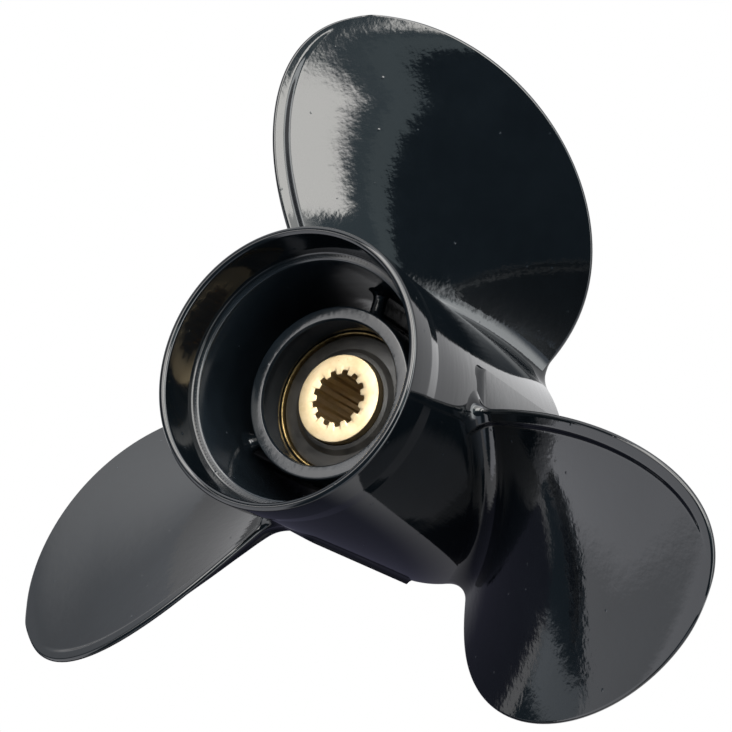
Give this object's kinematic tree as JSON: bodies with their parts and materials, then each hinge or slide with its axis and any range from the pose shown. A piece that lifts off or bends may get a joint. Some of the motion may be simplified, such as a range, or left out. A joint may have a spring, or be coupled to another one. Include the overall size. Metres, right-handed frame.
{
  "type": "boat propeller",
  "caption": "Three-blade right-hand boat propeller with exhaust led through its flared hub, gloss black casting with a rubber bushing and splined brass sleeve",
  "frame": {"origin": "on the shaft axis, at the hub's forward end, which stands on z = 0", "axes": "+Z along the shaft axis, pointing aft, the way the propeller nut goes on; the first blade's tip points along +X"},
  "size_m": [0.2888, 0.3047, 0.143],
  "materials": {
    "gloss_black_paint": "gloss",
    "brass_shell": "satin",
    "black_rubber": "matte",
    "brass": "machined"
  },
  "bodies": {
    "root": {"propeller_casting": "gloss_black_paint", "bushing_shell": "brass_shell", "rubber_bushing": "black_rubber", "splined_sleeve": "brass"}
  },
  "joints": []
}
